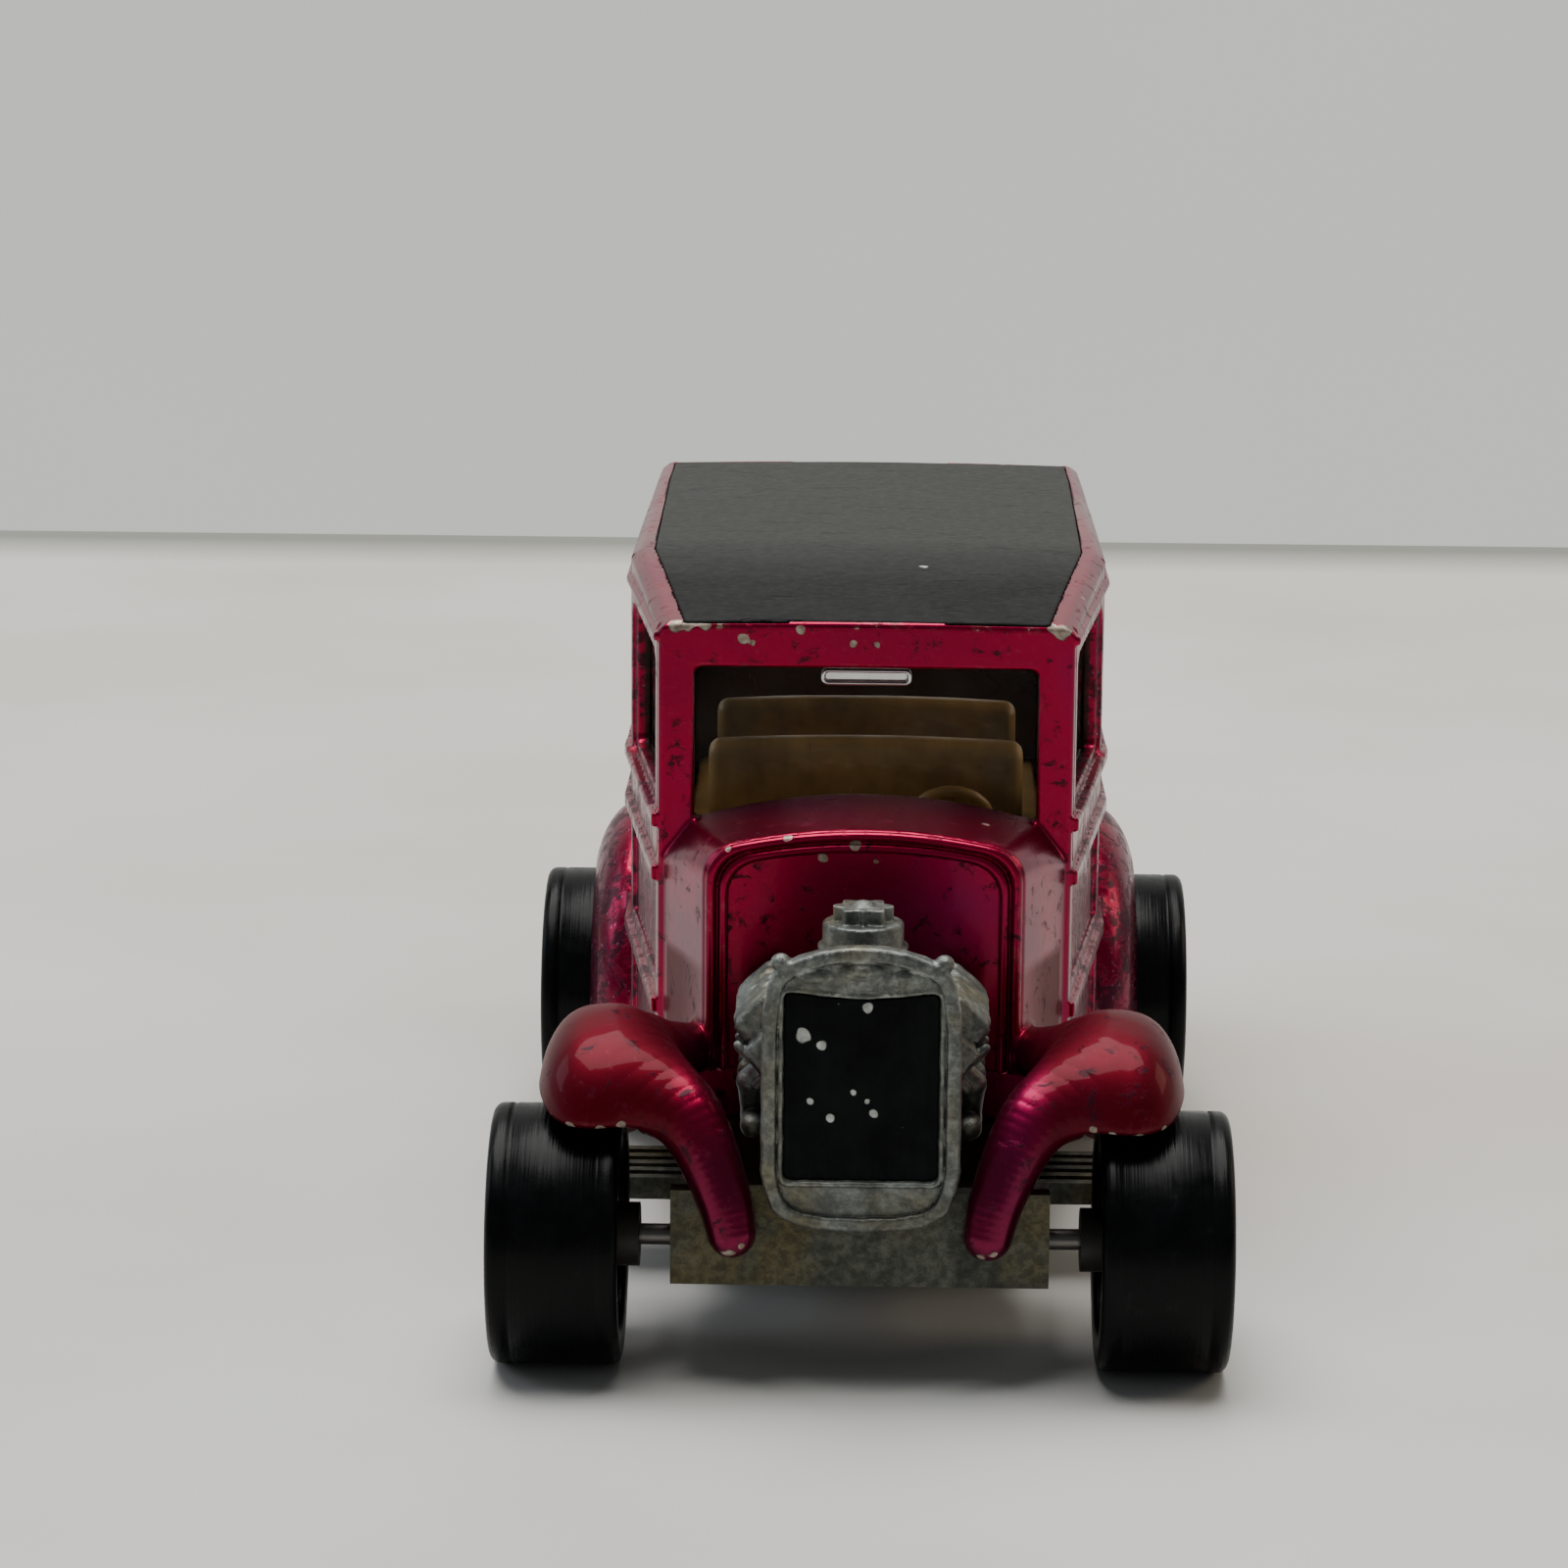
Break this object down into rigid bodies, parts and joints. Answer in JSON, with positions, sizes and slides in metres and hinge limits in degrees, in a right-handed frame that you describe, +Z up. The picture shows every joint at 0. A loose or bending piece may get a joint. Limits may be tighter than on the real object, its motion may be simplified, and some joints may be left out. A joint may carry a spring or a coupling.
{
  "type": "pull back toy car",
  "caption": "Small die-cast woody wagon with an open engine bay, free front wheels and a pull-back spring motor on the rear axle.",
  "frame": {"origin": "on the ground under the middle of the car's length and width", "axes": "+Z up, -Y towards the nose, +X towards the car's left side"},
  "size_m": [0.0322, 0.0654, 0.0305],
  "materials": {
    "candy_paint": "translucent crimson over polished metal, worn at edges",
    "roof_black": "matt black, fine texture",
    "clear_glazing": "clear, slightly smeared",
    "interior_plastic": "brown moulding with a dull sheen",
    "base_zinc": "bare zinc alloy, dull with brown patina",
    "engine_zinc": "bare zinc alloy casting, dull",
    "grille_black": "matt black paint with chips",
    "axle_wire": "drawn wire",
    "tyre_black": "black with fine turned lines",
    "hub_chrome": "vacuum-metallised",
    "bush_plastic": "black acetal",
    "rivet_metal": "peened",
    "gear_white": "natural acetal",
    "gear_red": "red acetal",
    "spring_steel": "blued strip",
    "motor_case": "dark grey moulding"
  },
  "bodies": {
    "car": {"body_shell": "candy_paint", "roof_cover": "roof_black", "window_glazing": "clear_glazing", "interior_tub": "interior_plastic", "chassis_base": "base_zinc", "chassis_rivets": "rivet_metal", "radiator_shell": "engine_zinc", "radiator_grille": "grille_black", "engine_block": "engine_zinc", "air_cleaner": "engine_zinc", "left_header": "engine_zinc", "right_header": "engine_zinc", "front_axle": "axle_wire", "transfer_shaft": "axle_wire", "spring_arbor": "axle_wire", "mainspring": "spring_steel", "motor_case_left": "motor_case", "motor_case_right": "motor_case"},
    "front_left_wheel": {"front_left_tyre": "tyre_black", "front_left_hub": "hub_chrome", "front_left_bush": "bush_plastic"},
    "front_right_wheel": {"front_right_tyre": "tyre_black", "front_right_hub": "hub_chrome", "front_right_bush": "bush_plastic"},
    "rear_axle_set": {"rear_axle": "axle_wire", "axle_pinion": "gear_white", "rear_left_tyre": "tyre_black", "rear_left_hub": "hub_chrome", "rear_left_bush": "bush_plastic", "rear_right_tyre": "tyre_black", "rear_right_hub": "hub_chrome", "rear_right_bush": "bush_plastic"},
    "transfer_wheel": {"transfer_gear": "gear_red"},
    "drum": {"spring_drum": "gear_white"}
  },
  "joints": [
    {"name": "rear_axle_spin", "type": "hinge", "parent": "car", "child": "rear_axle_set", "pos_m": [0, 0.01275, 0.006], "axis": [1, 0, 0], "continuous": true},
    {"name": "front_left_spin", "type": "hinge", "parent": "car", "child": "front_left_wheel", "pos_m": [0.01275, -0.02725, 0.0055], "axis": [1, 0, 0], "continuous": true},
    {"name": "front_right_spin", "type": "hinge", "parent": "car", "child": "front_right_wheel", "pos_m": [-0.01275, -0.02725, 0.0055], "axis": [1, 0, 0], "continuous": true},
    {"name": "transfer_spin", "type": "hinge", "parent": "car", "child": "transfer_wheel", "pos_m": [0, 0.01694, 0.00894], "axis": [1, 0, 0], "continuous": true},
    {"name": "drum_spin", "type": "hinge", "parent": "car", "child": "drum", "pos_m": [0, 0.02234, 0.00846], "axis": [1, 0, 0], "continuous": true, "deforming": ["mainspring"]}
  ],
  "couplings": [
    {"joint": "transfer_spin", "follows": "rear_axle_spin", "ratio": -0.41667},
    {"joint": "drum_spin", "follows": "rear_axle_spin", "ratio": 0.16026}
  ]
}
